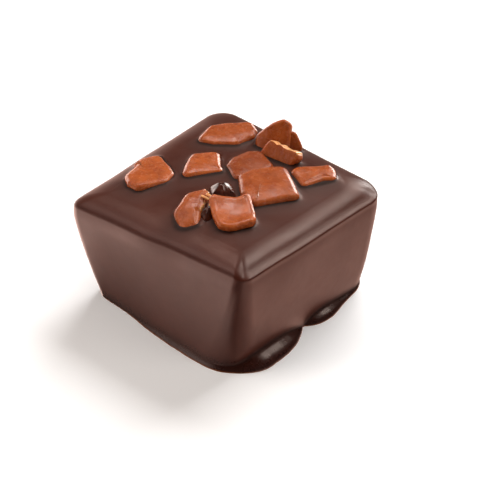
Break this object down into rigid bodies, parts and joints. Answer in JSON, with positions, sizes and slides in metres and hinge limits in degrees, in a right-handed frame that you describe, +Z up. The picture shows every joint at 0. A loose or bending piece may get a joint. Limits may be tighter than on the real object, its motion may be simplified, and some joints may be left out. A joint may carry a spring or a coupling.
{
  "type": "dark chocolate ganache bonbon",
  "caption": "Square dark chocolate coated ganache bonbon that widens towards its soft top edge, with caramel chips set in the top and small feet of chocolate at its base.",
  "frame": {"origin": "on the flat underside, under the middle of the bonbon", "axes": "+Z up; +X towards the side with the two chocolate feet; -Y towards the side beside it that the picture shows"},
  "size_m": [0.0253, 0.0252, 0.0163],
  "materials": {
    "dark_chocolate": "satin dark chocolate with a fine grain, glossier on the feet",
    "caramel": "soft caramel, half matt, darker towards its sunken edges"
  },
  "bodies": {
    "root": {"chocolate_coat": "dark_chocolate", "caramel_chip_01": "caramel", "caramel_chip_02": "caramel", "caramel_chip_03": "caramel", "caramel_chip_04": "caramel", "caramel_chip_05": "caramel", "caramel_chip_06": "caramel", "caramel_chip_07": "caramel", "caramel_chip_08": "caramel", "caramel_chip_09": "caramel", "caramel_chip_10": "caramel", "caramel_chip_11": "caramel"}
  },
  "joints": []
}
